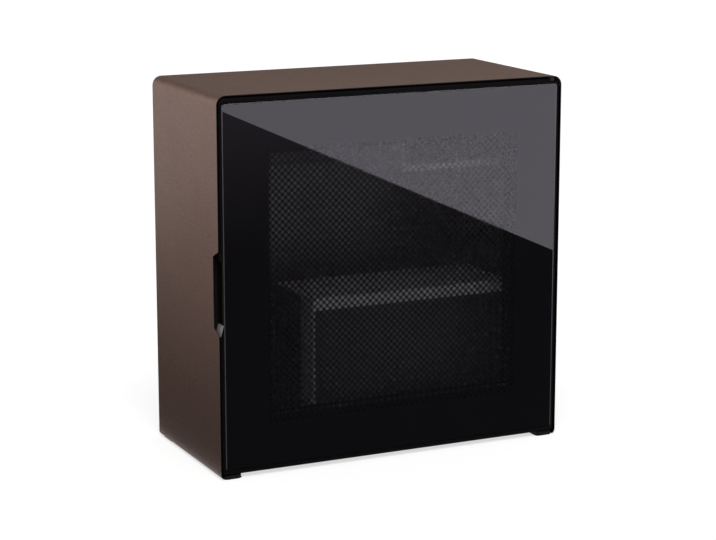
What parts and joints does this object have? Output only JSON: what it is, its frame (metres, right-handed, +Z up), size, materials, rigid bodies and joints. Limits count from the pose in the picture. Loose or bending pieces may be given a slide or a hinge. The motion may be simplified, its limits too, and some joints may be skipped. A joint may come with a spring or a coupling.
{
  "type": "minibar fridge",
  "caption": "Slim free-standing minibar fridge with a bronze sheet casing, a dark glass door on side hinges, shelves and rear cooling gear.",
  "frame": {"origin": "on the standing surface, below the middle of the casing", "axes": "+X to the right seen from the front, +Y into the fridge, +Z up"},
  "size_m": [0.56, 0.258, 0.562],
  "materials": {
    "bronze_powder_coat": "fine textured bronze powder coat",
    "black_steel": "black coated sheet",
    "grey_steel": "grey coated galvanised sheet",
    "black_rubber": "moulded rubber",
    "black_plastic": "fine grained black moulding",
    "dark_plastic": "thermoformed dark liner plastic",
    "insulation_foam": "rigid polyurethane foam",
    "tinted_glass": "dark tinted toughened glass with a printed dot field",
    "clear_glass": "clear inner pane",
    "black_spacer": "black anodised spacer",
    "gasket_rubber": "soft extruded gasket",
    "bright_steel": "zinc plated",
    "bush_plastic": "natural bearing plastic",
    "shelf_coat": "dark coated sheet",
    "evaporator_aluminium": "rolled bonded aluminium",
    "dial_plastic": "satin grey moulding",
    "frosted_lens": "frosted lens",
    "black_enamel": "gloss black enamel",
    "compressor_enamel": "black enamel",
    "copper": "drawn copper"
  },
  "bodies": {
    "cabinet": {"outer_casing": "bronze_powder_coat", "base_plate": "black_steel", "front_foot_left": "black_rubber", "front_foot_right": "black_rubber", "rear_foot_left": "black_rubber", "rear_foot_right": "black_rubber", "back_panel": "grey_steel", "front_strip": "dark_plastic", "inner_liner": "dark_plastic", "insulation": "insulation_foam", "lower_hinge": "black_steel", "upper_hinge": "black_steel", "lower_hinge_pin": "bright_steel", "upper_hinge_pin": "bright_steel", "hinge_screws": "bright_steel", "lower_shelf": "shelf_coat", "upper_shelf": "shelf_coat", "evaporator_plate": "evaporator_aluminium", "thermostat_housing": "dark_plastic", "lamp_base": "dark_plastic", "lamp_lens": "frosted_lens", "condenser_tube": "black_enamel", "condenser_wires": "black_enamel", "condenser_clips": "black_plastic", "compressor": "compressor_enamel", "compressor_bracket": "grey_steel", "compressor_mounts": "black_rubber", "relay_box": "black_plastic", "suction_pipe": "copper", "capillary_tube": "copper", "filter_drier": "copper", "discharge_pipe": "copper", "machine_cover": "grey_steel", "cable_gland": "black_plastic", "cover_screws": "bright_steel", "panel_screws": "bright_steel"},
    "door": {"door_frame": "black_plastic", "finger_cup": "black_plastic", "front_glass": "tinted_glass", "glass_spacer": "black_spacer", "inner_glass": "clear_glass", "door_inner_trim": "dark_plastic", "door_gasket": "gasket_rubber", "lower_bush": "bush_plastic", "upper_bush": "bush_plastic"},
    "dial": {"thermostat_dial": "dial_plastic", "dial_shaft": "bush_plastic"}
  },
  "joints": [
    {"name": "door_hinge", "type": "hinge", "parent": "cabinet", "child": "door", "pos_m": [0.265, -0.121, 0], "axis": [0, 0, 1], "range_deg": [0, 90]},
    {"name": "dial_turn", "type": "hinge", "parent": "cabinet", "child": "dial", "pos_m": [-0.159, -0.0769, 0.502], "axis": [0, 1, 0], "range_deg": [0, 270]}
  ]
}
